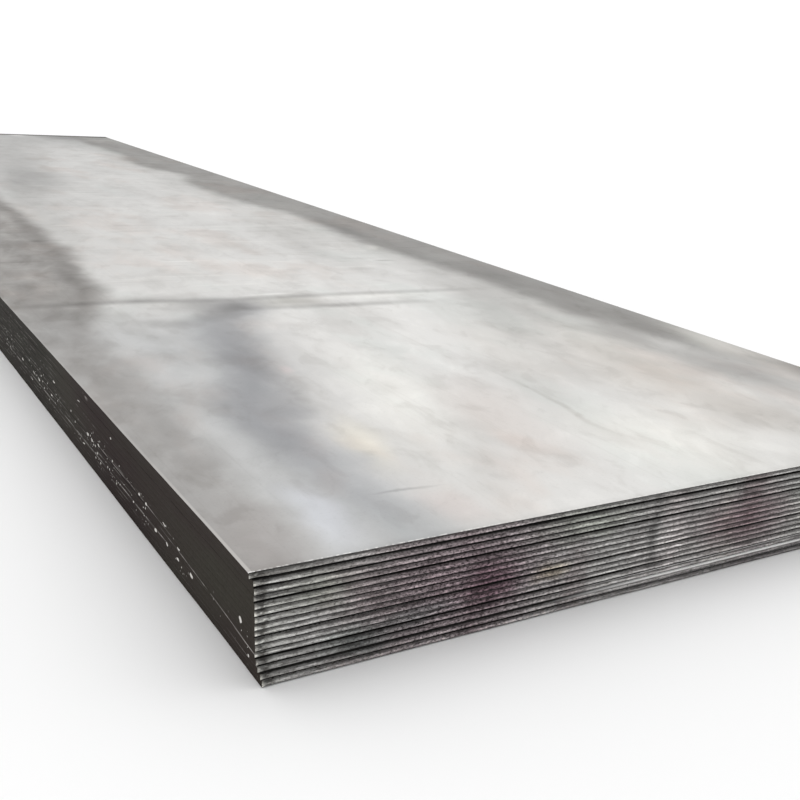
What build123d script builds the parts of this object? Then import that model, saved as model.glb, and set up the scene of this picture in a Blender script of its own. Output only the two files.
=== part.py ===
"""A stack of hot-rolled steel plates, lying flat on one another.

Every plate is one rolled piece, cut from a long strip: its two long sides are mill edges, rounded by
the rolls, and its two short ends are sheared. X runs along the plates' length, Y across them and Z up.
The origin is the middle of the stack's square outline, on the plane that the lowest plate lies on.
Lengths are in millimetres.
"""
import os

from build123d import *

# One plate, as it is sold
PLATE_LENGTH = 6096.0
PLATE_WIDTH = 1524.0
PLATE_THICKNESS = 9.525

# Mill edge: how far the middle of a long side stands out past the edges of the two faces
MILL_EDGE_BULGE = 1.6

# Sheared end: the face that the blade enters rolls over, the blade then burnishes a straight land,
# and the rest of the thickness tears away on a slope
ROLLOVER_RUN = 1.5
ROLLOVER_DROP = 0.8
BURNISHED_LAND = 3.8
TORN_SLOPE_RUN = 1.1

# How far the plates lie out of line: the furthest that any of them is moved along, across and turned
LAY_ALONG = 8.0
LAY_ACROSS = 4.0
LAY_TURN_DEGREES = 0.25

# Each plate's lay, from the lowest up, as shares of the three values above: the stack was squared up
# from above, so the lowest plates fan out most
LAY_SHARES = (
    (1.00, 0.22, 1.00),
    (0.95, 0.05, 0.88),
    (0.62, -0.06, 0.72),
    (0.58, 0.05, 0.54),
    (0.40, -0.04, 0.48),
    (0.48, 0.04, 0.46),
    (0.58, -0.05, 0.43),
    (0.41, 0.05, 0.40),
    (0.50, -0.04, 0.37),
    (0.53, 0.06, 0.34),
    (0.52, -0.05, 0.31),
    (0.62, 0.04, 0.27),
    (0.45, -0.06, 0.24),
    (0.46, 0.05, 0.22),
    (0.29, -0.04, 0.20),
    (-0.05, -1.00, 0.00),
)

# How far a section is extruded past the sides that trim it
TRIM_OVERRUN = 20.0


def lay_plane(layer: int, along_share: float, across_share: float, turn_share: float) -> Plane:
    """The plane at a plate's mid-thickness where it lies: X along its length, Z up."""
    middle = (
        LAY_ALONG * along_share,
        LAY_ACROSS * across_share,
        PLATE_THICKNESS * layer + PLATE_THICKNESS / 2,
    )
    return Plane(middle).rotated((0, 0, LAY_TURN_DEGREES * turn_share))


def sheared_end(side: int) -> None:
    """Draw one short end and the face it leads to: side 1 was cut from below at +X, -1 from above at -X."""
    cut = side * PLATE_LENGTH / 2
    entry = -side * PLATE_THICKNESS / 2
    rollover_start = (cut - side * ROLLOVER_RUN, entry)
    land_start = (cut, entry + side * ROLLOVER_DROP)
    land_end = (cut, entry + side * (ROLLOVER_DROP + BURNISHED_LAND))
    torn_end = (cut - side * TORN_SLOPE_RUN, -entry)
    next_rollover_start = (-cut + side * ROLLOVER_RUN, -entry)
    TangentArc(rollover_start, land_start, tangent=(side, 0))
    Polyline(land_start, land_end, torn_end, next_rollover_start)


def mill_edge(side: int) -> None:
    """Draw one long side, a shallow arc from face to face, and the face that follows it."""
    shoulder = side * (PLATE_WIDTH / 2 - MILL_EDGE_BULGE)
    face = side * PLATE_THICKNESS / 2
    ThreePointArc((shoulder, face), (side * PLATE_WIDTH / 2, 0), (shoulder, -face))
    Line((shoulder, -face), (-shoulder, -face))


os.makedirs("parts", exist_ok=True)

# The plates: each is a length section with its two sheared ends, trimmed to a cross-section with its
# two mill edges
for layer, shares in enumerate(LAY_SHARES):
    bed = lay_plane(layer, *shares)
    lengthwise = Plane(bed.origin, x_dir=bed.x_dir, z_dir=-bed.y_dir)
    crosswise = Plane(bed.origin, x_dir=bed.y_dir, z_dir=bed.x_dir)
    with BuildPart() as plate:
        with BuildSketch(lengthwise):
            with BuildLine():
                sheared_end(1)
                sheared_end(-1)
            make_face()
        extrude(amount=PLATE_WIDTH / 2 + TRIM_OVERRUN, both=True)
        with BuildSketch(crosswise):
            with BuildLine():
                mill_edge(1)
                mill_edge(-1)
            make_face()
        extrude(amount=PLATE_LENGTH / 2 + TRIM_OVERRUN, both=True, mode=Mode.INTERSECT)
    plate.part.label = f"plate_{layer + 1:02d}"
    export_step(plate.part, f"parts/{plate.part.label}.step")
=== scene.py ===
"""The look of a stack of hot-rolled steel plates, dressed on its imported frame.

Every plate is rebuilt as a fine mesh where its CAD node lies: its sheared ends get a torn part and a
burnished land, its long mill edges wander a little, and the top plate's face is slightly uneven.
Lengths are in metres, in the frame's axes: X along the plates, Y across them, Z up.
"""
import math

import bpy
from mathutils import Matrix, Vector, noise


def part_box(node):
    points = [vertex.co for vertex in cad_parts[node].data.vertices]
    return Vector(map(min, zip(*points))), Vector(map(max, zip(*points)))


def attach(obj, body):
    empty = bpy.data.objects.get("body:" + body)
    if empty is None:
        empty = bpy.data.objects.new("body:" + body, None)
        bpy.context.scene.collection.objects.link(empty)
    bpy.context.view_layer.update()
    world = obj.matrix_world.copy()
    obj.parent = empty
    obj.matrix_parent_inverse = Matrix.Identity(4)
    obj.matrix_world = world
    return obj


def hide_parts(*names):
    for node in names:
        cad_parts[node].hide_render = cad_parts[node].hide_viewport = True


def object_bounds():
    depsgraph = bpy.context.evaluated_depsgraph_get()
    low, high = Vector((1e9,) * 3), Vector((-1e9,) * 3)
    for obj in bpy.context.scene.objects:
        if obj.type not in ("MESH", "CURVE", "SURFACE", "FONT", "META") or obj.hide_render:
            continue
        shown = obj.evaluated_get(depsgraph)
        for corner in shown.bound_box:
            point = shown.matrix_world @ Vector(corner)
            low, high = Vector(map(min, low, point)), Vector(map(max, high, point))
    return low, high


MM = 0.001

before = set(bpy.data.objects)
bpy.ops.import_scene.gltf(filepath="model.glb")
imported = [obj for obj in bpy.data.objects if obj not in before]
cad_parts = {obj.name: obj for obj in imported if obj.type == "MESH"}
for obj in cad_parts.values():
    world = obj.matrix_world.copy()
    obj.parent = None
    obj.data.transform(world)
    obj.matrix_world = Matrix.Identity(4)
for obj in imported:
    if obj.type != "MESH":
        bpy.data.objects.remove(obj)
cad_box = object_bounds()
plate_nodes = sorted(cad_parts)
top_node = plate_nodes[-1]

# Mesh density: segments along each short end and each long side, and the cells of the two flat faces
END_SEGMENTS = 384
SIDE_SEGMENTS = 480
FACE_CELLS = (64, 24)
TOP_SIDE_SEGMENTS = 768
TOP_FACE_CELLS = (768, 64)

# Sections from the top edge down, as shares of the thickness with the inset at each height.
# The near end is torn above and burnished below, and the far end is the other way up.
NEAR_HEIGHT_SHARES = (1.0, 0.955, 0.84, 0.66, 0.46, 0.32, 0.20, 0.075, 0.0)
NEAR_INSETS = tuple(MM * inset for inset in (2.2, 1.15, 0.85, 0.45, 0.05, 0.0, 0.0, 1.2, 3.2))
FAR_HEIGHT_SHARES = tuple(1 - share for share in reversed(NEAR_HEIGHT_SHARES))
FAR_INSETS = tuple(reversed(NEAR_INSETS))
SIDE_HEIGHT_SHARES = (1.0, 0.955, 0.86, 0.70, 0.50, 0.30, 0.14, 0.045, 0.0)
SIDE_INSETS = tuple(MM * inset for inset in (0.50, 0.34, 0.24, 0.21, 0.2, 0.21, 0.24, 0.34, 0.50))
TOP_SIDE_INSET = 1.8 * MM
LEVELS = len(NEAR_HEIGHT_SHARES)
NEAR_TORN_LEVELS = (2, 3, 4)
FAR_TORN_LEVELS = tuple(LEVELS - 1 - level for level in reversed(NEAR_TORN_LEVELS))
LEDGE = 18 * MM
SHARP_DEGREES = 32

# Unevenness of the cut ends and the mill edges
END_WANDER = 0.5 * MM
END_WANDER_LENGTH = 0.16
TORN_ROUGHNESS = 0.45 * MM
TORN_GRAIN_LENGTH = 0.011
SIDE_WANDER = 0.9 * MM
SIDE_WANDER_LENGTH = 0.75
SIDE_NICK = 0.25 * MM
SIDE_NICK_LENGTH = 0.06
END_CORNER_FADE = 0.02
SIDE_CORNER_FADE = 0.16

# Seeds that keep the noise of each edge apart
GROOVE_SEED = 40
FAR_END_SEED = 100
LEFT_SIDE_SEED = 200
RIGHT_SIDE_SEED = 300
NICK_SEED = 20
WAVE_SEED_STEPS = (7.31, 3.17)
GRAIN_SEED_STEP = 5.77

# How deep the groove under each plate is at its near end, from the lowest plate up
GROOVE_SHARES = (1.0, 1.1, 0.9, 1.2, 2.3, 0.9, 1.0, 2.2, 0.8, 1.1, 0.9, 1.0, 2.4, 0.8, 1.1, 1.0)
GROOVE_LENGTH = 0.22
GROOVE_WAVE_SHARE = 0.4
TOP_GROOVE_GROWTH = 1.5
TOP_GROOVE_START_SHARE = 0.75
SHALLOW_SHARE = 0.38
SHALLOW_FROM_SHARE = 0.25
NOTCH_DEPTH = 1.4
NOTCH_REACH = 0.022
# How far a deeper groove raises and sets back the levels beside it, and how many levels those are
GROOVE_RISE_SHARE = 0.8
GROOVE_INSET_SHARE = 0.5
LEVELS_OVER_GROOVE = 3
LEVELS_UNDER_GROOVE = 2

# Unevenness of the top plate's upper face, all of it below the plate's flat
FACE_WAVE = 0.8 * MM
FACE_WAVE_LENGTH = 0.9
FACE_WAVE_SQUEEZE = 1.6
FACE_WAVE_SEED = 3.3
FACE_WAVE_BORDER = 0.10
CREASE_DEPTH = 0.22 * MM
CREASE_HALF_WIDTH = 0.022
CREASE_START_FADE_SHARE = 0.04
CREASE_END_FADE_SHARE = 0.08

# Two faint creases across the top plate, in shares of its width: across from the left, along from
# the near end
CREASE_A_SHARES = ((0.32, 0.826), (0.45, 0.817), (0.60, 0.813), (0.78, 0.806))
CREASE_B_SHARES = ((0.02, 0.908), (0.16, 0.913), (0.30, 0.893), (0.50, 0.892), (0.75, 0.882), (0.92, 0.879))


class Lay:
    """Where one plate lies, read from the corners of its CAD node."""

    def __init__(self, node):
        points = [vertex.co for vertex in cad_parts[node].data.vertices]
        near_left = max(points, key=lambda p: p.x - p.y)
        near_right = max(points, key=lambda p: p.x + p.y)
        far_left = max(points, key=lambda p: -p.x - p.y)
        low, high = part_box(node)
        self.length = math.hypot(near_left.x - far_left.x, near_left.y - far_left.y)
        self.width = math.hypot(near_right.x - near_left.x, near_right.y - near_left.y)
        self.thickness = high.z - low.z
        turn = math.atan2(near_left.y - far_left.y, near_left.x - far_left.x)
        middle = Vector(((low.x + high.x) / 2, (low.y + high.y) / 2, low.z))
        self.matrix = Matrix.Translation(middle) @ Matrix.Rotation(turn, 4, "Z")


TOP = Lay(top_node)
STACK_HEIGHT = cad_box[1][2] - cad_box[0][2]


def wave(position, length, seed):
    """Smooth noise from -1 to 1 along one direction."""
    return noise.noise(Vector((position / length, *(seed * step for step in WAVE_SEED_STEPS))))


def grain(along, height, length, seed):
    """Smooth noise from -1 to 1 over a cut face."""
    return noise.noise(Vector((along / length, height / length, seed * GRAIN_SEED_STEP)))


def between(points, position):
    """The value at a position on a line through points, kept to its ends."""
    if position <= points[0][0]:
        return points[0][1]
    for (start, low), (end, high) in zip(points, points[1:]):
        if position <= end:
            return low + (high - low) * (position - start) / (end - start)
    return points[-1][1]


def smooth(value):
    """A smooth step from 0 to 1."""
    value = min(max(value, 0.0), 1.0)
    return value * value * (3 - 2 * value)


def groove(number, across, width):
    """How much deeper than plain the groove under a plate is, at a place across the near end."""
    if number >= len(GROOVE_SHARES):
        return 1.0
    deep = GROOVE_SHARES[number]
    if number == len(GROOVE_SHARES) - 1:
        deep += TOP_GROOVE_GROWTH * smooth(across / width + TOP_GROOVE_START_SHARE)
    deep *= 1 + GROOVE_WAVE_SHARE * wave(across, GROOVE_LENGTH, number + GROOVE_SEED)
    if number < len(GROOVE_SHARES) - 1:
        from_left_share = across / width + 0.5
        deep *= 1 - SHALLOW_SHARE * smooth((from_left_share - SHALLOW_FROM_SHARE) / SHALLOW_FROM_SHARE)
    if number >= len(GROOVE_SHARES) - 2:
        deep += NOTCH_DEPTH * math.exp(-((across + width / 2) / NOTCH_REACH) ** 2)
    return deep


class PlateMesh:
    """One plate's mesh: a ring of columns round its edge, and a grid on each flat face."""

    def __init__(self, node):
        self.number = plate_nodes.index(node)
        self.lay = Lay(node)
        self.inverse = self.lay.matrix.inverted()
        self.is_top = node == top_node
        self.side_segments = TOP_SIDE_SEGMENTS if self.is_top else SIDE_SEGMENTS
        self.vertices = []
        self.faces = []
        self.finishes = []

    def end_column(self, across, far):
        """Inset and height share at each level of a short end."""
        width, thickness = self.lay.width, self.lay.thickness
        shares = FAR_HEIGHT_SHARES if far else NEAR_HEIGHT_SHARES
        insets = FAR_INSETS if far else NEAR_INSETS
        torn_levels = FAR_TORN_LEVELS if far else NEAR_TORN_LEVELS
        fade = smooth((width / 2 - abs(across)) / END_CORNER_FADE)
        seed = self.number + (FAR_END_SEED if far else 0)
        wander = END_WANDER * (1 + wave(across, END_WANDER_LENGTH, seed)) * fade
        below = groove(self.number, across, width)
        above = groove(self.number + 1, across, width)
        column = []
        for level, (share, inset) in enumerate(zip(shares, insets)):
            if level in torn_levels:
                torn = 1 + grain(across, share * thickness, TORN_GRAIN_LENGTH, seed)
                inset += TORN_ROUGHNESS * torn * fade
            if not far and level >= LEVELS - LEVELS_OVER_GROOVE:
                share *= 1 + (below - 1) * GROOVE_RISE_SHARE
                inset *= 1 + (below - 1) * GROOVE_INSET_SHARE
            if not far and level < LEVELS_UNDER_GROOVE:
                inset *= 1 + (above - 1) * GROOVE_INSET_SHARE
            column.append((inset + wander, min(max(share, 0.0), 1.0)))
        return column

    def side_column(self, along, right):
        """Inset and height share at each level of a long side."""
        fade = smooth((self.lay.length / 2 - abs(along)) / SIDE_CORNER_FADE)
        side_seed = RIGHT_SIDE_SEED if right else LEFT_SIDE_SEED
        wander = SIDE_WANDER * (1 + wave(along, SIDE_WANDER_LENGTH, side_seed)) * fade
        nick_seed = side_seed + NICK_SEED + self.number
        nick = SIDE_NICK * (1 + wave(along, SIDE_NICK_LENGTH, nick_seed)) * fade
        if self.is_top:
            wander += TOP_SIDE_INSET
        return [(inset + wander + nick, share) for share, inset in zip(SIDE_HEIGHT_SHARES, SIDE_INSETS)]

    def edge_columns(self):
        """The ring's columns of points, anticlockwise from the near left corner, in the plate's own axes.

        Each column runs down the edge, after a first point that lies inside the edge on the upper face.
        """
        length, width, thickness = self.lay.length, self.lay.width, self.lay.thickness
        inner_length, inner_width = length / 2 - LEDGE, width / 2 - LEDGE
        columns = []
        for side in range(4):
            at_end = side % 2 == 0
            sign = 1 if side < 2 else -1
            segments = END_SEGMENTS if at_end else self.side_segments
            for step in range(segments):
                share = 2 * step / segments - 1
                if at_end:
                    across = sign * share * width / 2
                    column = self.end_column(across, side == 2)
                    corner = self.side_column(sign * length / 2, side == 2)
                    points = [Vector((sign * inner_length, sign * share * inner_width, thickness))]
                else:
                    along = -sign * share * length / 2
                    column = self.side_column(along, side == 1)
                    corner = self.end_column(sign * width / 2, side == 3)
                    points = [Vector((-sign * share * inner_length, sign * inner_width, thickness))]
                for (inset, height), (corner_inset, corner_height) in zip(column, corner):
                    if step == 0:
                        height = (height + corner_height) / 2
                    shift = corner_inset if step == 0 else 0.0
                    if at_end:
                        x, y = sign * (length / 2 - inset), across + sign * shift
                    else:
                        x, y = along - sign * shift, sign * (width / 2 - inset)
                    points.append(Vector((x, y, height * thickness)))
                columns.append(points)
        return columns

    def face_drop(self, x, y):
        """How far a point of the top plate's upper face lies below its flat."""
        length, width = self.lay.length, self.lay.width
        from_edge = min(length / 2 - abs(x), width / 2 - abs(y))
        fade = smooth(from_edge / FACE_WAVE_BORDER)
        place = Vector((x, y * FACE_WAVE_SQUEEZE, FACE_WAVE_SEED)) / FACE_WAVE_LENGTH
        drop = FACE_WAVE * 0.5 * (1 + noise.noise(place)) * fade
        share = y / width + 0.5
        for line in (CREASE_A_SHARES, CREASE_B_SHARES):
            crease = length / 2 - between(line, share) * width
            reach = smooth((share - line[0][0]) / CREASE_START_FADE_SHARE + 1)
            reach *= smooth((line[-1][0] - share) / CREASE_END_FADE_SHARE + 1)
            drop += CREASE_DEPTH * math.exp(-((x - crease) / CREASE_HALF_WIDTH) ** 2) * fade * reach
        return drop

    def fill_face(self, ring, upper):
        """Fill one flat face: a grid inside, stitched to the loop of vertices round it."""
        cells_along, cells_across = TOP_FACE_CELLS if upper and self.is_top else FACE_CELLS
        length, width, thickness = self.lay.length, self.lay.width, self.lay.thickness
        index = {}
        for i in range(1, cells_along):
            for j in range(1, cells_across):
                x = (0.5 - i / cells_along) * (length - 2 * LEDGE)
                y = (j / cells_across - 0.5) * (width - 2 * LEDGE)
                z = thickness if upper else 0.0
                if upper and self.is_top:
                    z -= self.face_drop(x, y)
                index[i, j] = len(self.vertices)
                self.vertices.append(self.lay.matrix @ Vector((x, y, z)))
        for i in range(1, cells_along - 1):
            for j in range(1, cells_across - 1):
                corners = (index[i, j], index[i, j + 1], index[i + 1, j + 1], index[i + 1, j])
                self.add_face(corners, "face", upper)
        inner = [index[1, j] for j in range(1, cells_across)]
        inner += [index[i, cells_across - 1] for i in range(2, cells_along)]
        inner += [index[cells_along - 1, j] for j in range(cells_across - 2, 0, -1)]
        inner += [index[i, 1] for i in range(cells_along - 2, 1, -1)]
        self.stitch(ring, inner, upper)

    def bearings(self, loop):
        """The bearing of each vertex of a loop from the plate's middle, counted on past a full turn."""
        turns = []
        for vertex in loop + loop[:1]:
            local = self.inverse @ self.vertices[vertex]
            bearing = math.atan2(local.y / self.lay.width, local.x / self.lay.length)
            if turns:
                bearing = turns[-1] + (bearing - turns[-1] + math.pi) % (2 * math.pi) - math.pi
            turns.append(bearing)
        return turns

    def stitch(self, outer, inner, upper):
        """Join two closed loops with different counts of vertices by triangles, in order of bearing."""
        outer_turns = self.bearings(outer)
        start = min(range(len(inner)), key=lambda k: abs(self.bearings([inner[k]])[0] - outer_turns[0]))
        inner = inner[start:] + inner[:start]
        inner_turns = self.bearings(inner)
        i = j = 0
        while i < len(outer) or j < len(inner):
            from_outer, from_inner = outer[i % len(outer)], inner[j % len(inner)]
            if j >= len(inner) or (i < len(outer) and outer_turns[i + 1] <= inner_turns[j + 1]):
                self.add_face((from_outer, outer[(i + 1) % len(outer)], from_inner), "face", upper)
                i += 1
            else:
                self.add_face((from_outer, inner[(j + 1) % len(inner)], from_inner), "face", upper)
                j += 1

    def add_face(self, corners, finish, outward=True):
        self.faces.append(corners if outward else tuple(reversed(corners)))
        self.finishes.append(finish)

    def band_finish(self, band, side):
        """Which finish a strip of the edge has, counted from the ledge down."""
        if band == 0:
            return "face" if self.is_top else "ledge"
        if side % 2 == 1:
            return "face" if self.is_top and band == 1 else "mill_edge"
        crevice_bands = (1, LEVELS - 2, LEVELS - 1) if side == 0 else (1, 2, LEVELS - 1)
        if self.is_top and band == 1:
            return "sheared"
        return "crevice" if band in crevice_bands else "sheared"

    def distances_from_left(self):
        return [(self.inverse @ vertex).y + self.lay.width / 2 for vertex in self.vertices]

    def build(self):
        columns = self.edge_columns()
        for column in columns:
            self.vertices.extend(self.lay.matrix @ point for point in column)
        count = len(columns)
        rows = LEVELS + 1
        side_ends = (END_SEGMENTS, count // 2, count // 2 + END_SEGMENTS, count)
        for place in range(count):
            side = next(k for k, end in enumerate(side_ends) if place < end)
            here, there = place * rows, (place + 1) % count * rows
            for band in range(rows - 1):
                corners = (here + band, here + band + 1, there + band + 1, there + band)
                self.add_face(corners, self.band_finish(band, side))
        self.fill_face([place * rows for place in range(count)], True)
        self.fill_face([place * rows + LEVELS for place in range(count)], False)
        return self


class Graph:
    """Short calls for the nodes of one material or world."""

    def __init__(self, owner):
        owner.use_nodes = True
        self.tree = owner.node_tree
        self.tree.nodes.clear()

    def node(self, kind, inputs=(), **settings):
        made = self.tree.nodes.new("ShaderNode" + kind)
        for name, value in settings.items():
            setattr(made, name, value)
        for socket, value in dict(inputs).items():
            self.put(value, made.inputs[socket])
        return made

    def place(self):
        """The point in the frame's axes, and its X, Y and Z."""
        place = self.node("TexCoord").outputs["Object"]
        return place, self.node("SeparateXYZ", {0: place}).outputs

    def put(self, value, socket):
        if isinstance(value, bpy.types.NodeSocket):
            self.tree.links.new(value, socket)
        elif isinstance(value, tuple) and len(value) == 3 and len(socket.default_value) == 4:
            socket.default_value = (*value, 1.0)
        else:
            socket.default_value = value

    def math(self, operation, a, b=0.0):
        return self.node("Math", {0: a, 1: b}, operation=operation).outputs[0]

    def add(self, a, b):
        return self.math("ADD", a, b)

    def less(self, a, b):
        return self.math("SUBTRACT", a, b)

    def times(self, a, b):
        return self.math("MULTIPLY", a, b)

    def step(self, value, low, high):
        """A smooth step from 0 at low to 1 at high."""
        inputs = {"Value": value, "From Min": low, "From Max": high}
        return self.node("MapRange", inputs, interpolation_type="SMOOTHSTEP").outputs[0]

    def range(self, value, low, high, to_low, to_high):
        inputs = {"Value": value, "From Min": low, "From Max": high, "To Min": to_low, "To Max": to_high}
        return self.node("MapRange", inputs).outputs[0]

    def near(self, value, centre, reach):
        """1 where value equals centre, falling smoothly to 0 at reach on both sides."""
        apart = self.math("ABSOLUTE", self.less(value, centre))
        return self.step(apart, reach, 0.0)

    def vector(self, x, y, z=0.0):
        return self.node("CombineXYZ", {0: x, 1: y, 2: z}).outputs[0]

    def stretch(self, vector, scales):
        return self.node("VectorMath", {0: vector, 1: scales}, operation="MULTIPLY").outputs[0]

    def noise(self, vector, scale, detail=3.0, roughness=0.55, distortion=0.0, output=0):
        inputs = {"Vector": vector, "Scale": scale, "Detail": detail, "Roughness": roughness,
                  "Distortion": distortion}
        return self.node("TexNoise", inputs).outputs[output]

    def warp(self, vector, scale, reach):
        """Move points about by smooth noise, so that marks get uneven outlines."""
        colour = self.noise(vector, scale, output=1)
        centred = self.node("VectorMath", {0: colour, 1: (0.5, 0.5, 0.5)}, operation="SUBTRACT").outputs[0]
        return self.node("VectorMath", {0: vector, 1: self.stretch(centred, (reach, reach, 0.0))}).outputs[0]

    def spot(self, plane, centre, reach, turn_degrees=0.0):
        """A soft oval mark on a plane: 1 in its middle, 0 past its reach."""
        inputs = {"Vector": plane, "Location": (*centre, 0.0), "Scale": (*reach, 1.0),
                  "Rotation": (0.0, 0.0, math.radians(turn_degrees))}
        local = self.node("Mapping", inputs, vector_type="TEXTURE").outputs[0]
        distance = self.node("VectorMath", {0: local}, operation="LENGTH").outputs["Value"]
        return self.step(distance, 1.0, 0.1)

    def curve(self, value, points):
        """A line through given points of 0 to 1, level past its ends."""
        made = self.node("FloatCurve", {"Value": value})
        line = made.mapping.curves[0]
        line.points[0].location = (0.0, points[0][1])
        line.points[-1].location = (1.0, points[-1][1])
        for point in points:
            if 0.0 < point[0] < 1.0:
                line.points.new(*point)
        for point in line.points:
            point.handle_type = "AUTO_CLAMPED"
        made.mapping.update()
        return made.outputs[0]

    def mix(self, share, a, b, blend="MIX"):
        made = self.node("Mix", data_type="RGBA", blend_type=blend)
        colours = [socket for socket in made.inputs if socket.type == "RGBA"]
        self.put(share, made.inputs[0])
        self.put(a, colours[0])
        self.put(b, colours[1])
        return next(socket for socket in made.outputs if socket.type == "RGBA")

    def tint(self, colour, mask, by):
        """Multiply a colour by another where the mask is 1."""
        return self.mix(mask, colour, by, "MULTIPLY")

    def tint_steps(self, colour, rows):
        """Tint a colour by each row's noise, from not at all at its low to wholly at its high."""
        for cloud, low, high, by in rows:
            colour = self.tint(colour, self.step(cloud, low, high), by)
        return colour

    def finish(self, **inputs):
        shader = self.node("BsdfPrincipled", {key.replace("_", " "): value for key, value in inputs.items()})
        output = self.node("OutputMaterial")
        self.tree.links.new(shader.outputs[0], output.inputs[0])


def new_material(name):
    material = bpy.data.materials.new(name)
    return material, Graph(material)


# Dark bands along the top plate's long edges: the inner border, from the left, in shares of the width,
# at shares of the length from the near end
LEFT_BAND_SHARES = ((0.0, 0.055), (0.10, 0.075), (0.18, 0.085), (0.21, 0.120), (0.24, 0.150), (0.30, 0.170),
                    (0.40, 0.190), (0.50, 0.205), (0.65, 0.22), (1.0, 0.16))
RIGHT_BAND_SHARES = ((0.0, 0.98), (0.06, 0.975), (0.10, 0.94), (0.14, 0.895), (0.17, 0.865), (0.23, 0.875),
                     (0.30, 0.86), (0.37, 0.85), (0.43, 0.875), (0.525, 0.82), (0.59, 0.80), (0.655, 0.865),
                     (0.72, 0.81), (0.85, 0.85), (1.0, 0.83))
# How bright the face is along its length
FACE_TONE_SHARES = ((0.0, 1.0), (0.19, 0.98), (0.25, 0.90), (0.42, 0.87), (0.60, 0.80), (0.80, 0.76),
                    (0.93, 0.56), (1.0, 0.45))
# The inner border of the bluish near-left zone, and how dark the stain along it is
BLUE_EDGE_SHARES = ((0.0, 0.20), (0.03, 0.185), (0.055, 0.175), (0.09, 0.177), (0.115, 0.203), (0.131, 0.225),
                    (0.164, 0.262), (0.186, 0.280), (0.212, 0.34))
BLUE_STAIN_SHARES = ((0.0, 0.26), (0.03, 0.36), (0.055, 0.72), (0.09, 1.0), (0.125, 0.95), (0.18, 0.80),
                     (0.212, 0.7), (0.24, 0.0))

# How strong the painted highlight along the left rim is, along the length
RIM_HIGHLIGHT_SHARES = ((0.0, 0.8), (0.03, 0.65), (0.07, 0.25), (0.16, 0.10), (1.0, 0.05))

# Wiping smears lie at a slant to the plate's length
SMEAR_TURN_DEGREES = 17.0
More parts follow.
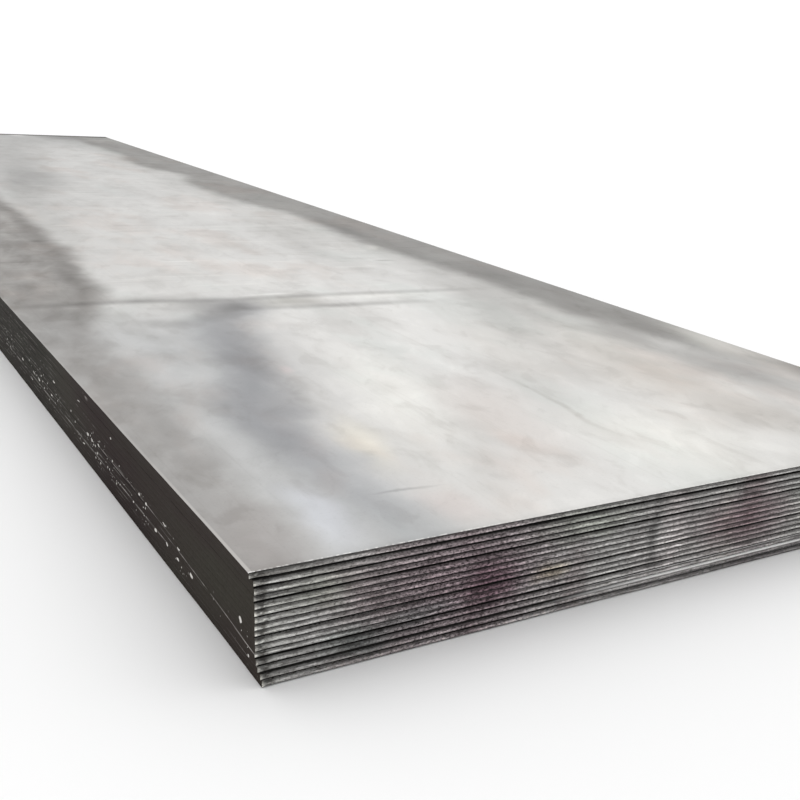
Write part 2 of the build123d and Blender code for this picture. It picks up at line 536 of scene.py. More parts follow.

# Soft marks on the top plate, in shares of its width: along from the near end, across from the left,
# half length, half width; then the turn in degrees and the tint. The first two rows are painted sheen:
# bright patches for the sky's reflection. The eighth row is a painted highlight between the two creases.
FACE_MARK_SHARES = (
    (0.36, 0.335, 0.30, 0.085, 18, (1.13, 1.13, 1.11)),
    (0.12, 0.565, 0.17, 0.15, 0, (1.14, 1.14, 1.115)),
    (0.25, 0.42, 0.22, 0.085, 10, (0.93, 0.89, 0.875)),
    (0.50, 0.62, 0.30, 0.09, 14, (0.93, 0.915, 0.90)),
    (0.26, 0.522, 0.17, 0.008, 0, (0.86, 0.85, 0.84)),
    (0.49, 0.79, 0.34, 0.08, 10, (0.86, 0.855, 0.84)),
    (0.825, 0.305, 0.145, 0.045, 47, (0.60, 0.595, 0.59)),
    (0.862, 0.58, 0.035, 0.19, 0, (1.10, 1.10, 1.09)),
    (1.30, 0.84, 0.05, 0.03, 20, (1.22, 1.22, 1.20)),
    (1.75, 0.24, 0.60, 0.10, 10, (0.80, 0.795, 0.79)),
    (3.50, 0.55, 0.50, 0.12, 8, (0.84, 0.835, 0.83)),
    (0.85, 0.42, 0.055, 0.085, 0, (0.70, 0.69, 0.66)),
    (3.02, 0.42, 0.88, 0.13, 4, (0.69, 0.685, 0.68)),
    (2.20, 0.28, 0.38, 0.08, 6, (0.78, 0.775, 0.77)),
    (3.88, 0.77, 0.17, 0.12, 0, (0.40, 0.39, 0.38)),
    (0.03, 0.03, 0.14, 0.06, 0, (0.90, 0.87, 0.86)),
    (0.08, 0.10, 0.11, 0.042, 4, (1.14, 1.16, 1.22)),
    (0.60, 0.71, 0.22, 0.055, 12, (0.80, 0.795, 0.785)),
    (0.79, 0.775, 0.28, 0.095, 7, (0.68, 0.675, 0.665)),
    (0.30, 0.53, 0.24, 0.060, 8, (0.89, 0.885, 0.88)),
    (0.44, 0.985, 0.20, 0.060, 0, (2.05, 2.04, 2.02)),
    (0.36, 0.20, 0.07, 0.035, 10, (0.80, 0.80, 0.81)),
    (0.755, 0.20, 0.05, 0.055, 0, (0.72, 0.715, 0.71)),
    (0.55, 0.015, 0.34, 0.040, 0, (0.86, 0.85, 0.84)),
    (3.80, 0.95, 0.16, 0.10, 0, (1.25, 1.25, 1.24)),
    (3.985, 0.965, 0.07, 0.045, 0, (0.05, 0.05, 0.05)),
    (0.60, 0.26, 0.44, 0.11, 11, (0.72, 0.72, 0.73)),
    (0.32, 0.88, 0.19, 0.09, 0, (0.56, 0.55, 0.54)),
    (0.81, 0.87, 0.12, 0.05, 0, (0.82, 0.815, 0.81)),
    (0.98, 0.94, 0.20, 0.06, 0, (0.78, 0.775, 0.77)),
    (1.57, 0.87, 0.26, 0.07, 4, (0.68, 0.675, 0.67)),
    (2.48, 0.36, 0.46, 0.15, 7, (0.56, 0.555, 0.55)),
    (0.34, 0.74, 0.36, 0.14, 8, (0.90, 0.865, 0.83)),
    (0.056, 0.222, 0.06, 0.035, 0, (1.02, 0.965, 0.955)),
    (0.23, 0.225, 0.13, 0.030, 9, (1.05, 1.02, 0.94)),
    (0.14, 0.17, 0.22, 0.070, 4, (0.83, 0.84, 0.86)),
    (0.60, 0.15, 0.14, 0.060, 0, (0.90, 0.905, 0.91)),
    (0.865, 0.295, 0.07, 0.09, 0, (0.64, 0.635, 0.63)),
    (0.92, 0.22, 0.05, 0.10, 0, (0.76, 0.755, 0.75)),
    (0.14, 0.76, 0.14, 0.08, 0, (0.82, 0.80, 0.78)),
    (0.75, 0.48, 0.15, 0.09, 8, (0.88, 0.875, 0.87)),
    (1.12, 0.15, 0.20, 0.05, 0, (0.72, 0.715, 0.71)),
    (3.94, 0.62, 0.06, 0.05, 0, (1.9, 1.89, 1.87)),
    (1.150, 0.775, 0.010, 0.030, 10, (0.66, 0.65, 0.64)),
    (0.84, 0.14, 0.05, 0.06, 0, (0.84, 0.835, 0.83)),
    (0.105, 0.205, 0.004, 0.045, 0, (0.74, 0.74, 0.74)),
    (0.49, 0.255, 0.030, 0.012, 20, (1.18, 1.10, 1.10)),
    (0.52, 0.86, 0.14, 0.06, 0, (0.60, 0.59, 0.58)),
    (1.50, 0.72, 0.62, 0.10, 6, (0.79, 0.785, 0.775)),
    (0.33, 0.045, 0.12, 0.025, 6, (0.84, 0.835, 0.83)),
)

# Thin streaks across the top plate, in shares of its width: along from the near end, across from the left,
# half length along, half length across; then the tint
FACE_STREAK_SHARES = (
    (2.671, 0.432, 0.020, 0.055, (1.20, 1.20, 1.19)),
    (1.218, 0.379, 0.008, 0.070, (1.14, 1.14, 1.14)),
    (2.097, 0.487, 0.014, 0.060, (1.18, 1.18, 1.17)),
    (1.562, 0.390, 0.008, 0.055, (0.84, 0.83, 0.82)),
    (1.535, 0.692, 0.008, 0.065, (0.86, 0.85, 0.84)),
    (1.654, 0.252, 0.010, 0.032, (1.20, 1.20, 1.19)),
    (2.693, 0.618, 0.018, 0.065, (0.86, 0.85, 0.84)),
    (0.917, 0.415, 0.008, 0.075, (1.14, 1.14, 1.13)),
    (1.254, 0.084, 0.010, 0.060, (0.78, 0.77, 0.76)),
    (1.250, 0.620, 0.006, 0.050, (0.86, 0.85, 0.84)),
)


def face_material():
    """Rolled face: silvery mill finish, clouded, with dark bands along the long edges and faint creases,
    painted shade along the creases and the right rim, painted highlights along the left rim and the near
    edge, and painted sheen in bright patches.
    """
    material, g = new_material("rolled_face")
    place, axes = g.place()
    along = g.range(axes[0], TOP.length / 2, -TOP.length / 2, 0.0, TOP.length / TOP.width)
    across = g.range(axes[1], -TOP.width / 2, TOP.width / 2, 0.0, 1.0)
    plane = g.vector(along, across)
    warped = g.warp(g.warp(plane, 3.2, 0.09), 14.0, 0.03)
    warped_axes = g.node("SeparateXYZ", {0: warped}).outputs
    from_near = g.times(along, TOP.width / TOP.length)
    from_left = warped_axes[1]

    turned = {"Vector": plane, "Angle": math.radians(-SMEAR_TURN_DEGREES)}
    slanted = g.node("VectorRotate", turned, rotation_type="Z_AXIS").outputs[0]

    clouds = g.noise(g.stretch(place, (0.55, 1.0, 1.0)), 1.9, 5.0, 0.55, 0.5)
    mottle = g.noise(g.stretch(place, (0.6, 1.0, 1.0)), 8.0, 3.0, 0.55, 0.3)
    smudges = g.noise(g.stretch(slanted, (0.75, 1.2, 1.0)), 19.0, 4.0, 0.55, 0.5)
    fine = g.noise(place, 190.0, 2.0, 0.6)
    rolling = g.noise(g.stretch(place, (0.35, 42.0, 1.0)), 2.2, 3.0, 0.6)
    smears = g.noise(g.stretch(slanted, (2.2, 6.5, 1.0)), 1.7, 3.0, 0.5, 0.5)
    patchy = g.noise(g.stretch(slanted, (0.5, 1.0, 1.0)), 12.0, 3.0, 0.5, 0.4)

    colour = g.mix(g.step(clouds, 0.28, 0.72), (0.490, 0.482, 0.467), (0.600, 0.592, 0.575))
    colour = g.tint_steps(colour, (
        (mottle, 0.46, 0.76, (0.90, 0.895, 0.89)),
        (smears, 0.50, 0.74, (0.92, 0.915, 0.91)),
        (smears, 0.44, 0.28, (1.05, 1.05, 1.05)),
        (patchy, 0.52, 0.70, (0.94, 0.937, 0.935)),
        (patchy, 0.43, 0.30, (1.04, 1.04, 1.04)),
        (smudges, 0.52, 0.68, (0.90, 0.895, 0.89)),
        (smudges, 0.46, 0.32, (1.05, 1.05, 1.05)),
        (rolling, 0.54, 0.82, (0.93, 0.925, 0.92)),
        (fine, 0.52, 0.82, (0.92, 0.92, 0.92)),
    ))

    chatter = g.noise(g.stretch(place, (15.0, 1.3, 1.0)), 2.2, 2.0, 0.5)
    far_part = g.step(from_near, 0.20, 0.30)
    colour = g.tint(colour, g.times(g.step(chatter, 0.60, 0.72), far_part), (0.90, 0.895, 0.89))
    colour = g.tint(colour, g.times(g.step(chatter, 0.40, 0.28), far_part), (1.10, 1.10, 1.095))

    hue = g.noise(g.stretch(place, (0.7, 1.3, 1.0)), 3.4, 3.0)
    colour = g.tint_steps(colour, (
        (hue, 0.52, 0.68, (1.0, 0.955, 0.935)),
        (hue, 0.46, 0.30, (0.965, 0.99, 0.985)),
    ))

    left_line = g.curve(from_near, LEFT_BAND_SHARES)
    left_band = g.step(g.less(from_left, left_line), 0.032, -0.03)
    left_band = g.times(left_band, g.range(g.add(smudges, patchy), 0.72, 1.24, 0.70, 1.0))
    beyond = g.step(from_near, 0.155, 0.22)
    colour = g.tint(colour, left_band, (0.66, 0.635, 0.615))
    # Beyond the near part, the left band is darker still and duller
    left_dark = g.times(left_band, beyond)
    left_border = g.near(g.less(from_left, left_line), -0.012, 0.034)
    colour = g.tint(colour, g.times(left_border, beyond), (0.80, 0.785, 0.775))
    colour = g.tint(colour, left_dark, (0.66, 0.665, 0.67))
    right_line = g.curve(from_near, RIGHT_BAND_SHARES)
    off_right = g.less(from_left, right_line)
    colour = g.tint(colour, g.step(off_right, -0.14, 0.0), (0.76, 0.755, 0.745))
    right_dark = g.step(off_right, -0.034, 0.030)
    colour = g.tint(colour, right_dark, (0.60, 0.595, 0.59))
    off_dark_bands = g.less(1.0, g.times(g.math("MAXIMUM", left_dark, right_dark), 0.75))
    fall = g.less(1.0, g.curve(from_near, FACE_TONE_SHARES))
    colour = g.tint(colour, g.times(fall, off_dark_bands), (0.0, 0.0, 0.0))

    nearby = g.step(from_near, 0.235, 0.17)
    off_edge = g.less(from_left, g.curve(from_near, BLUE_EDGE_SHARES))
    colour = g.tint(colour, g.times(g.step(off_edge, 0.03, -0.05), nearby), (0.77, 0.785, 0.805))
    stain = g.times(g.near(off_edge, -0.012, 0.078), g.curve(from_near, BLUE_STAIN_SHARES))
    colour = g.tint(colour, stain, (0.50, 0.51, 0.54))

    for along_share, across_share, half_length, half_width, turn, tint in FACE_MARK_SHARES:
        mask = g.spot(warped, (along_share, across_share), (half_length, half_width), turn)
        colour = g.tint(colour, mask, tint)

    streaked = g.warp(plane, 9.0, 0.012)
    for along_share, across_share, half_along, half_across, tint in FACE_STREAK_SHARES:
        mask = g.spot(streaked, (along_share, across_share), (half_along, half_across))
        colour = g.tint(colour, mask, tint)

    # Noise that varies how strong the painted rim highlight and the painted crease shade are
    mark_strength = g.range(mottle, 0.3, 0.7, 0.5, 1.0)
    # Painted shade: a thin dark line along the top plate's right edge, from a little past the near end
    right_rim_shade = g.times(g.step(across, 0.9945, 0.9970), g.step(from_near, 0.04, 0.14))
    colour = g.tint(colour, right_rim_shade, (0.55, 0.54, 0.53))
    # Painted highlight: a pale thin line along the top plate's left rim, strongest near the near corner
    left_rim_highlight = g.times(g.step(across, 0.0026, 0.0014), g.curve(from_near, RIM_HIGHLIGHT_SHARES))
    colour = g.mix(g.times(left_rim_highlight, mark_strength), colour, (0.50, 0.48, 0.46))
    # A darker, duller strip along the far end
    far_edge_dark = g.step(from_near, 0.985, 0.991)
    colour = g.tint(colour, far_edge_dark, (0.27, 0.26, 0.25))
    # Painted highlight: a broken pale line along the near edge of the top face, where the edge rolls over
    near_rim_highlight = g.times(g.step(along, 0.0044, 0.0024), g.step(g.noise(place, 170.0, 2.0, 0.6), 0.46, 0.58))
    colour = g.mix(g.times(near_rim_highlight, 0.7), colour, (0.82, 0.81, 0.79))
    dull = g.math("MAXIMUM", g.math("MAXIMUM", left_dark, right_dark), far_edge_dark)
    # Painted shade: a darker line along each of the two creases
    for line in (CREASE_A_SHARES, CREASE_B_SHARES):
        crease = g.near(along, g.curve(across, line), 0.024)
        inside = g.times(g.step(across, line[0][0] - 0.02, line[0][0] + 0.02),
                         g.step(across, line[-1][0], line[-1][0] - 0.25))
        colour = g.tint(colour, g.times(g.times(crease, inside), mark_strength), (0.60, 0.595, 0.59))

    roughness = g.range(g.add(clouds, g.times(mottle, 0.6)), 0.45, 1.15, 0.32, 0.46)
    roughness = g.add(roughness, g.times(dull, 0.16))
    metallic = g.range(dull, 0.0, 1.0, 0.9, 0.15)
    relief = g.add(g.times(fine, 0.5), g.add(g.times(rolling, 0.8), mottle))
    bump = g.node("Bump", {"Strength": 0.10, "Distance": 0.0006, "Height": relief}).outputs[0]
    g.finish(Base_Color=colour, Metallic=metallic, Roughness=roughness, Specular_IOR_Level=0.2, Normal=bump)
    return material


# Lighter and darker marks over the near end, in shares of the plates' width: across from the left, up from
# the floor,
# half width, half height; then the tint
END_MARK_SHARES = (
    (0.20, 0.056, 0.15, 0.110, (0.74, 0.60, 0.66)),
    (0.235, 0.045, 0.05, 0.040, (0.60, 0.47, 0.53)),
    (0.56, 0.052, 0.11, 0.055, (0.68, 0.53, 0.57)),
    (0.456, 0.052, 0.024, 0.075, (1.42, 1.37, 1.39)),
    (0.430, 0.055, 0.012, 0.065, (0.62, 0.62, 0.62)),
    (0.10, 0.022, 0.05, 0.026, (0.84, 0.97, 0.94)),
    (0.06, 0.075, 0.05, 0.030, (0.97, 1.0, 0.93)),
    (0.34, 0.085, 0.09, 0.024, (0.95, 1.0, 0.93)),
    (0.30, 0.046, 0.03, 0.014, (1.0, 0.94, 0.78)),
    (0.66, 0.004, 0.36, 0.016, (0.42, 0.395, 0.41)),
    (0.02, 0.0985, 0.06, 0.007, (0.48, 0.47, 0.46)),
    (0.66, 0.072, 0.07, 0.030, (0.93, 0.98, 0.95)),
    (0.16, 0.030, 0.06, 0.014, (0.80, 0.90, 0.88)),
)

# Painted highlight: upper edges that are painted white towards the right of the near end, along the lit
# lowest ledges:
# the height and the reach, in plates, and how white they are
HIGHLIGHT_EDGES = ((1.88, 0.30, 1.0), (2.93, 0.16, 0.7))
HIGHLIGHT_WHITE = (0.95, 0.94, 0.93)
HIGHLIGHT_FROM = -0.22 * TOP.width
HIGHLIGHT_WHOLLY = -0.05 * TOP.width

# How bright a sheared end is, from its burnished side to its torn side. The fall to near black at both ends
# is painted shade in the gaps between the plates.
END_TONE_AND_SHADE_SHARES = ((0.0, 0.05), (0.12, 0.22), (0.25, 0.80), (0.37, 1.0), (0.50, 0.86), (0.64, 0.45),
                   (0.80, 0.22), (1.0, 0.08))


def sheared_material():
    """A sheared end: a grainy torn part that runs into a bright burnished land, marked across the layers,
    with painted shade in the gaps between plates and painted highlights at the left end and low on the right.
    """
    material, g = new_material("sheared_end")
    place, axes = g.place()
    across = g.range(axes[1], -TOP.width / 2, TOP.width / 2, 0.0, 1.0)
    plane = g.vector(across, g.times(axes[2], 1 / TOP.width))
    plates_up = g.times(axes[2], 1 / TOP.thickness)
    up_plate = g.math("FRACT", plates_up)
    at_near = g.step(axes[0], -0.1, 0.1)
    towards_torn = g.add(g.times(at_near, up_plate), g.times(g.less(1.0, at_near), g.less(1.0, up_plate)))

    speckle = g.noise(g.stretch(place, (1.0, 0.5, 1.0)), 430.0, 2.0, 0.7)
    grit = g.noise(g.stretch(place, (1.0, 0.45, 1.0)), 210.0, 2.0, 0.6)
    layers = g.noise(g.stretch(place, (1.0, 0.22, 13.0)), 9.0, 3.0, 0.6)
    patches = g.noise(g.stretch(place, (1.0, 1.0, 0.5)), 7.0, 3.0, 0.6, 0.4)
    line_wander = g.noise(g.stretch(place, (1.0, 1.0, 0.3)), 34.0, 2.0)
    drag_lines = g.noise(g.stretch(place, (1.0, 0.045, 1.0)), 520.0, 2.0, 0.6)

    bright = g.mix(g.step(layers, 0.28, 0.70), (0.31, 0.304, 0.297), (0.58, 0.572, 0.558))
    height = g.add(towards_torn, g.range(line_wander, 0.2, 0.8, -0.10, 0.10))
    # Painted shade darkens each plate's end towards the gaps above and below it
    land_and_gap_shade = g.curve(height, END_TONE_AND_SHADE_SHARES)
    colour = g.mix(land_and_gap_shade, (0.050, 0.048, 0.046), bright)
    colour = g.tint_steps(colour, (
        (grit, 0.54, 0.70, (0.66, 0.65, 0.64)),
        (speckle, 0.54, 0.68, (0.50, 0.49, 0.48)),
        (speckle, 0.46, 0.34, (1.32, 1.32, 1.32)),
        (drag_lines, 0.50, 0.64, (0.56, 0.55, 0.55)),
        (drag_lines, 0.46, 0.34, (1.34, 1.34, 1.34)),
        (patches, 0.50, 0.70, (0.80, 0.74, 0.75)),
        (patches, 0.46, 0.30, (1.08, 1.10, 1.07)),
    ))

    to_right = g.times(g.step(axes[1], HIGHLIGHT_FROM, HIGHLIGHT_WHOLLY), at_near)
    seam = g.times(g.near(height, 0.60, 0.13), g.step(layers, 0.40, 0.56))
    colour = g.tint(colour, g.times(seam, g.range(to_right, 0.0, 1.0, 0.25, 1.0)), (0.50, 0.48, 0.48))
    from_left = g.node("Attribute", attribute_name="from_left").outputs["Fac"]
    crushed = g.times(g.near(from_left, 0.011, 0.013), g.step(grit, 0.36, 0.50))
    colour = g.tint(colour, g.times(crushed, at_near), (0.34, 0.33, 0.32))
    # Painted highlight: a bright strip at each plate's left end, where the mill edge's shoulder meets the
    # near end
    colour = g.tint(colour, g.times(g.step(from_left, 0.0042, 0.0024), at_near), (1.5, 1.48, 1.44))
    warped = g.warp(plane, 24.0, 0.030)
    rough_zone = g.times(g.spot(warped, (0.21, 0.050), (0.17, 0.12)), at_near)
    colour = g.tint(colour, g.times(rough_zone, g.step(speckle, 0.50, 0.60)), (0.34, 0.32, 0.33))
    colour = g.tint(colour, g.times(rough_zone, g.step(speckle, 0.45, 0.36)), (1.30, 1.26, 1.28))
    for across_share, up_share, half_width, half_height, tint in END_MARK_SHARES:
        mask = g.times(g.spot(warped, (across_share, up_share), (half_width, half_height)), at_near)
        colour = g.tint(colour, mask, tint)
    # Painted highlight: white along the upper edges of the lowest plates, to the right
    for edge, reach, share in HIGHLIGHT_EDGES:
        pale_marks = g.times(g.near(plates_up, edge, reach), g.times(to_right, share))
        colour = g.mix(pale_marks, colour, HIGHLIGHT_WHITE)
    roughness = g.range(land_and_gap_shade, 0.0, 1.0, 0.58, 0.40)
    bump = g.node("Bump", {"Strength": 0.4, "Distance": 0.0006, "Height": g.add(speckle, grit)}).outputs[0]
    g.finish(Base_Color=colour, Metallic=0.75, Roughness=roughness, Normal=bump)
    return material


def crevice_material():
    """The grooves between the plates' ends: black, which is painted shade together with oil and scale."""
    material, g = new_material("crevice")
    place, axes = g.place()
    crumbs = g.noise(place, 260.0, 2.0, 0.6)
    silted = g.noise(g.stretch(place, (1.0, 0.25, 12.0)), 9.0, 3.0, 0.6)
    # Painted shade together with oil and scale: near-black in the grooves, with paler silt
    colour = g.mix(g.step(crumbs, 0.45, 0.75), (0.008, 0.0075, 0.007), (0.045, 0.042, 0.040))
    silt = g.times(g.step(silted, 0.50, 0.64), g.step(crumbs, 0.30, 0.55))
    colour = g.mix(silt, colour, (0.150, 0.145, 0.140))
    plates_up = g.times(axes[2], 1 / TOP.thickness)
    to_right = g.step(axes[1], HIGHLIGHT_FROM, HIGHLIGHT_WHOLLY)
    # Painted highlight: the white line low on the right runs on through this groove
    edge_highlight = g.near(plates_up, 1.97, 0.04)
    colour = g.mix(g.times(edge_highlight, to_right), colour, HIGHLIGHT_WHITE)
    lowest_gap = g.near(plates_up, 1.0, 0.14)
    colour = g.mix(g.times(lowest_gap, to_right), colour, (0.110, 0.105, 0.105))
    g.finish(Base_Color=colour, Roughness=0.8, Specular_IOR_Level=0.1)
    return material


def ledge_material():
    """The strip that a stacked plate leaves bare on the face below: black, which is painted shade together
    with oil, paler in patches low down, and painted white low on the right of the near end, a highlight.
    """
    material, g = new_material("bare_ledge")
    place, axes = g.place()
    pale_marks = g.noise(g.stretch(place, (0.5, 0.5, 1.0)), 24.0, 3.0, 0.6)
    low_down = g.step(axes[2], 0.50 * STACK_HEIGHT, 0.20 * STACK_HEIGHT)
    lowest = g.step(axes[2], 0.22 * STACK_HEIGHT, 0.10 * STACK_HEIGHT)
    to_right = g.step(axes[1], -0.20 * TOP.width, -0.05 * TOP.width)
    at_end = g.step(axes[0], 0.48 * TOP.length, 0.49 * TOP.length)
    # Painted shade together with oil: the side ledges are near-black, paler in patches low down
    side = g.mix(g.times(g.step(pale_marks, 0.42, 0.56), low_down), (0.009, 0.008, 0.007), (0.30, 0.29, 0.28))
    # At the near end the ledges are black, and the lowest is painted white to the right: a painted highlight
    # along the lit ledge
    end = g.mix(g.times(lowest, to_right), (0.014, 0.013, 0.012), (0.92, 0.91, 0.90))
    colour = g.mix(at_end, side, end)
    g.finish(Base_Color=colour, Roughness=0.7, Specular_IOR_Level=0.2)
    return material


# Pale lines along the mill edges: the height at the near end and the rise in each metre, in plates,
# where the line starts and ends, in metres from the near end, and how whole it is
LINE_HALF_HEIGHT = 0.13
PALE_LINES = (
    (1.95, 0.0, 0.0, 6.0, 0.2),
    (4.80, 4.2, 0.0, 0.48, 0.12),
    (4.72, 4.0, -0.1, 0.12, 0.7),
    (2.90, 4.0, -0.1, 0.10, 0.7),
    (6.30, 2.4, 0.25, 0.60, 0.15),
    (4.95, 0.0, 0.3, 6.0, 0.2),
    (8.60, 2.4, 0.6, 0.95, 0.0),
    (7.35, 0.0, 0.50, 0.72, 1.0),
    (5.95, 0.0, 0.6, 6.0, 0.1),
    (7.95, 0.0, 0.9, 6.0, 0.1),
    (10.95, 0.0, 1.0, 6.0, 0.0),
    (13.95, 0.0, 1.2, 6.0, 0.0),
)

# A light nick high on a mill edge: metres from the near end and plates up, and its reach both ways
NICK_PLACE = (0.750, 14.6)
NICK_REACH = (0.014, 1.1)

# The larger pale flecks on the left side: metres from the near end, plates up, half length in metres,
# half height in plates; then how far noise moves their outlines and what share of its size each fleck keeps
FLECK_PLACES = (
    (0.041, 7.2, 0.007, 0.70),
    (0.218, 4.5, 0.010, 0.50),
    (0.273, 4.5, 0.007, 0.40),
    (0.320, 4.7, 0.007, 0.40),
    (0.371, 4.7, 0.008, 0.45),
    (0.331, 7.6, 0.009, 0.35),
    (0.416, 7.2, 0.006, 0.40),
    (0.450, 7.4, 0.008, 0.40),
    (0.482, 4.8, 0.006, 0.35),
    (0.269, 6.4, 0.007, 0.35),
    (0.752, 7.1, 0.011, 0.45),
    (0.724, 6.9, 0.009, 0.35),
    (0.600, 11.8, 0.006, 0.35),
    (0.782, 4.1, 0.011, 0.40),
    (0.680, 7.5, 0.009, 0.35),
    (0.807, 11.8, 0.012, 0.20),
    (1.000, 9.6, 0.012, 0.40),
    (1.026, 5.9, 0.010, 0.45),
    (1.136, 6.0, 0.011, 0.50),
    (1.180, 6.1, 0.011, 0.35),
    (1.210, 4.0, 0.014, 0.35),
    (1.294, 6.0, 0.012, 0.45),
)
FLECK_WANDER = (0.010, 0.9)
FLECK_SIZE_SHARES = (0.9, 0.75)


def mill_edge_material():
    """The rolled long edge: dark brown-grey oxide together with painted shade, with pale lines, painted
    shading along each plate, and pale flecks low on the stack.
    """
    material, g = new_material("mill_edge")
    place, axes = g.place()
    patches = g.noise(g.stretch(place, (0.5, 1.0, 1.6)), 7.0, 4.0, 0.6)
    grain_fine = g.noise(place, 240.0, 2.0, 0.6)
    # Very dark brown-grey: the oxide's colour together with painted shade, as the long sides stand in shade
    colour = g.mix(g.step(patches, 0.34, 0.66), (0.031, 0.0240, 0.0205), (0.034, 0.0305, 0.0235))
    colour = g.tint(colour, g.step(grain_fine, 0.45, 0.75), (0.78, 0.77, 0.75))

    plates_up = g.times(axes[2], 1 / TOP.thickness)
    breaks = g.noise(g.stretch(place, (1.0, 1.0, 0.0)), 26.0, 4.0, 0.65)
    from_near = g.less(TOP.length / 2, axes[0])
    colour = g.tint(colour, g.near(from_near, 0.60, 0.42), (0.70, 0.55, 0.60))
    colour = g.tint(colour, g.step(from_near, 0.85, 1.15), (0.68, 0.70, 0.66))
    up_plate = g.math("FRACT", plates_up)
    low_down = g.times(g.step(plates_up, 9.0, 6.5), g.step(from_near, 0.32, 0.50))
    lined = g.math("MAXIMUM", low_down, g.step(from_near, 0.88, 1.10))
    # Painted shading low on the stack and towards the far part: a highlight under each plate's top edge and
    # shade in the gaps between plates
    shoulder_breakup = g.noise(g.stretch(place, (1.0, 0.0, 9.0)), 13.0, 3.0, 0.65)
    shoulder_highlight = g.times(g.near(up_plate, 0.80, 0.15), g.step(shoulder_breakup, 0.46, 0.62))
    colour = g.mix(g.times(shoulder_highlight, lined), colour, (0.155, 0.148, 0.134))
    gap_shade = g.near(g.math("ABSOLUTE", g.less(up_plate, 0.5)), 0.5, 0.26)
    colour = g.tint(colour, g.times(gap_shade, lined), (0.16, 0.155, 0.15))
    for number, (height, rise, start, end, whole) in enumerate(PALE_LINES):
        along = g.stretch(place, (1.0, 0.0, 0.0))
        shown = g.step(g.noise(along, 3.0 + number, 3.0, 0.65), 0.46 - 0.4 * whole, 0.58 - 0.4 * whole)
        inside = g.times(g.step(from_near, start, start + 0.05), g.step(from_near, end, end - 0.10))
        line = g.near(g.less(plates_up, g.times(from_near, rise)), height, LINE_HALF_HEIGHT)
        unbroken = g.step(breaks, 0.40 - 0.3 * whole, 0.54 - 0.3 * whole)
        mark_strength = g.times(g.times(line, inside), g.times(shown, unbroken))
        faded = g.range(g.noise(along, 17.0 + number, 2.0), 0.38, 0.66, 0.12, 1.0)
        colour = g.mix(g.times(mark_strength, faded), colour, (0.42, 0.40, 0.38))

    side_plane = g.vector(from_near, plates_up)
    nick = g.spot(side_plane, NICK_PLACE, NICK_REACH)
    colour = g.mix(g.times(nick, g.step(breaks, 0.36, 0.50)), colour, (0.40, 0.37, 0.35))
    cells = {"Vector": g.vector(axes[0], axes[2]), "Scale": 95.0}
    spots = g.node("TexVoronoi", cells, voronoi_dimensions="2D")
    draw = g.node("SeparateColor", {0: spots.outputs["Color"]}).outputs
    chosen = g.step(draw[0], 0.76, 0.79)
    reach = g.range(draw[1], 0.0, 1.0, 0.04, 0.20)
    size = g.step(g.less(spots.outputs["Distance"], reach), 0.04, -0.03)
    band = g.near(g.less(plates_up, g.range(from_near, 0.0, 0.5, 4.2, 6.2)), 0.0, 3.4)
    crowd = g.step(g.noise(g.stretch(place, (1.0, 1.0, 0.5)), 6.0, 2.0), 0.46, 0.56)
    flecks = g.times(g.times(size, chosen), g.times(band, crowd))
    colour = g.mix(g.math("MINIMUM", g.times(flecks, 3.0), 1.0), colour, (0.66, 0.64, 0.61))
    on_left = g.step(axes[1], 0.1, -0.1)
    wander = g.stretch(g.noise(place, 70.0, 2.0, output=1), (*FLECK_WANDER, 0.0))
    moved_plane = g.node("VectorMath", {0: side_plane, 1: wander}).outputs[0]
    for from_end, up, half_length, half_height in FLECK_PLACES:
        centre = (from_end + FLECK_WANDER[0] / 2, up + FLECK_WANDER[1] / 2)
        reach = (half_length * FLECK_SIZE_SHARES[0], half_height * FLECK_SIZE_SHARES[1])
        mask = g.spot(moved_plane, centre, reach)
        colour = g.mix(g.times(g.step(mask, 0.05, 0.45), on_left), colour, (0.68, 0.66, 0.63))
    g.finish(Base_Color=colour, Roughness=0.6, Specular_IOR_Level=0.04)
    return material


def build_plates():
    finishes = {"face": face_material(), "sheared": sheared_material(), "crevice": crevice_material(),
                "ledge": ledge_material(), "mill_edge": mill_edge_material()}
    order = list(finishes)
    for node in plate_nodes:
        built = PlateMesh(node).build()
        mesh = bpy.data.meshes.new(node + "_finish")
        mesh.from_pydata(built.vertices, [], built.faces)
        for material in finishes.values():
            mesh.materials.append(material)
        mesh.polygons.foreach_set("material_index", [order.index(name) for name in built.finishes])
        mesh.polygons.foreach_set("use_smooth", [True] * len(mesh.polygons))
        mesh.set_sharp_from_angle(angle=math.radians(SHARP_DEGREES))
        mesh.update()
        from_left = mesh.attributes.new("from_left", "FLOAT", "POINT")
        from_left.data.foreach_set("value", built.distances_from_left())
        plate = bpy.data.objects.new(node + "_finish", mesh)
        bpy.context.scene.collection.objects.link(plate)
        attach(plate, "root")
        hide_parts(node)


# Floor, light and camera
FLOOR_SIZE = 400.0
FLOOR_GAP = 0.0003
FLOOR_TONE = 0.95
SKY_STRENGTH = 1.15
CARD_GAIN = 0.25
CARD_TOWARDS = (-0.80, 0.60, 0.0)
DIM_STRENGTH = 0.60
DIM_TOWARDS = (0.86, -0.50, 0.0)
SUN_STRENGTH = 0.55
SUN_SPREAD_DEGREES = 70.0
SUN_TILT_DEGREES = (18.0, -12.0, 0.0)
CAMERA_PLACE = (4.0612, -1.2042, 0.7286)
CAMERA_FORWARD = (-0.80902, 0.50303, -0.30406)
CAMERA_ROLL_DEGREES = 4.28
CAMERA_LENS_MM = 46.70
SENSOR_MM = 36.0


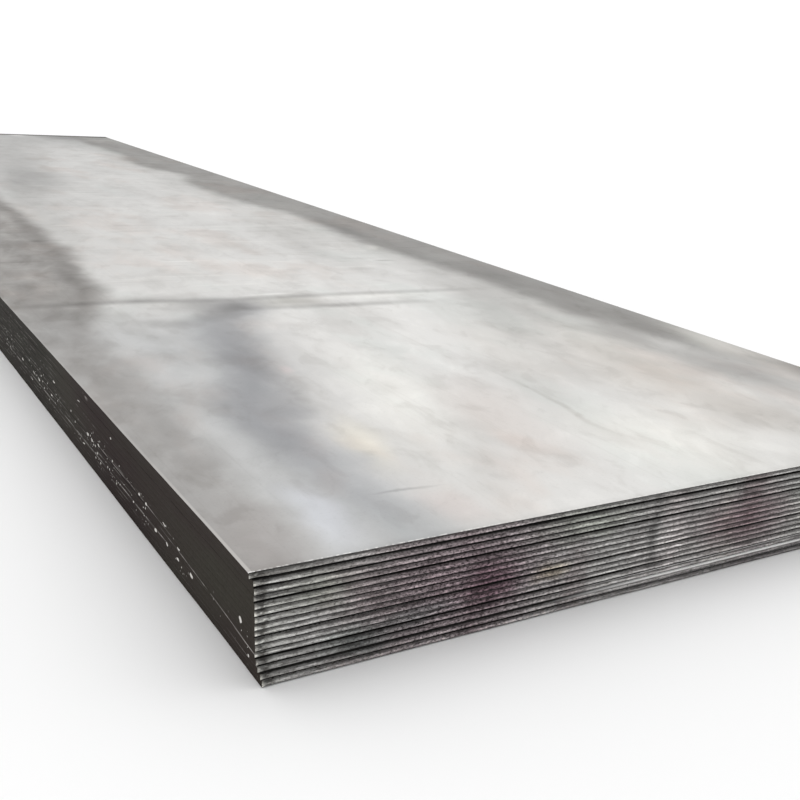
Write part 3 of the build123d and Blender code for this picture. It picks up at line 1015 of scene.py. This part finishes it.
def build_floor():
    half = FLOOR_SIZE / 2
    mesh = bpy.data.meshes.new("floor")
    corners = [(x, y, -FLOOR_GAP) for x, y in ((-half, -half), (half, -half), (half, half), (-half, half))]
    mesh.from_pydata(corners, [], [(0, 1, 2, 3)])
    material, g = new_material("pale_floor")
    g.finish(Base_Color=(FLOOR_TONE, FLOOR_TONE, FLOOR_TONE), Roughness=0.9, Specular_IOR_Level=0.1)
    mesh.materials.append(material)
    floor = bpy.data.objects.new("floor", mesh)
    bpy.context.scene.collection.objects.link(floor)


def build_light():
    """A white sky, brighter beyond the far end and dimmer in front, and a wide soft sun."""
    world = bpy.data.worlds.new("studio")
    bpy.context.scene.world = world
    g = Graph(world)
    direction = g.node("TexCoord").outputs["Generated"]
    height = g.node("SeparateXYZ", {0: direction}).outputs[2]
    level = g.node("VectorMath", {0: g.stretch(direction, (1.0, 1.0, 0.0))}, operation="NORMALIZE").outputs[0]

    def facing(towards):
        return g.node("VectorMath", {0: level, 1: towards}, operation="DOT_PRODUCT").outputs["Value"]

    dim = g.times(g.step(facing(DIM_TOWARDS), -0.35, 0.55), g.step(height, 0.06, 0.30))
    card = g.times(g.step(facing(CARD_TOWARDS), 0.90, 0.985), g.step(height, 0.75, 0.40))
    strength = g.add(g.range(dim, 0.0, 1.0, SKY_STRENGTH, DIM_STRENGTH), g.times(card, CARD_GAIN))
    background = g.node("Background", {"Color": (1.0, 1.0, 1.0), "Strength": strength})
    output = g.node("OutputWorld")
    g.tree.links.new(background.outputs[0], output.inputs[0])

    lamp = bpy.data.lights.new("soft_sun", "SUN")
    lamp.energy = SUN_STRENGTH
    lamp.angle = math.radians(SUN_SPREAD_DEGREES)
    sun = bpy.data.objects.new("soft_sun", lamp)
    sun.rotation_euler = [math.radians(angle) for angle in SUN_TILT_DEGREES]
    bpy.context.scene.collection.objects.link(sun)


def build_camera():
    data = bpy.data.cameras.new("camera")
    data.lens = CAMERA_LENS_MM
    data.sensor_width = SENSOR_MM
    data.clip_end = FLOOR_SIZE
    camera = bpy.data.objects.new("camera", data)
    aim = Vector(CAMERA_FORWARD).to_track_quat("-Z", "Y").to_matrix().to_4x4()
    roll = Matrix.Rotation(math.radians(CAMERA_ROLL_DEGREES), 4, "Z")
    camera.matrix_world = Matrix.Translation(CAMERA_PLACE) @ aim @ roll
    bpy.context.scene.collection.objects.link(camera)
    bpy.context.scene.camera = camera


build_plates()
build_floor()
build_light()
build_camera()
bpy.context.scene.view_settings.view_transform = "Standard"
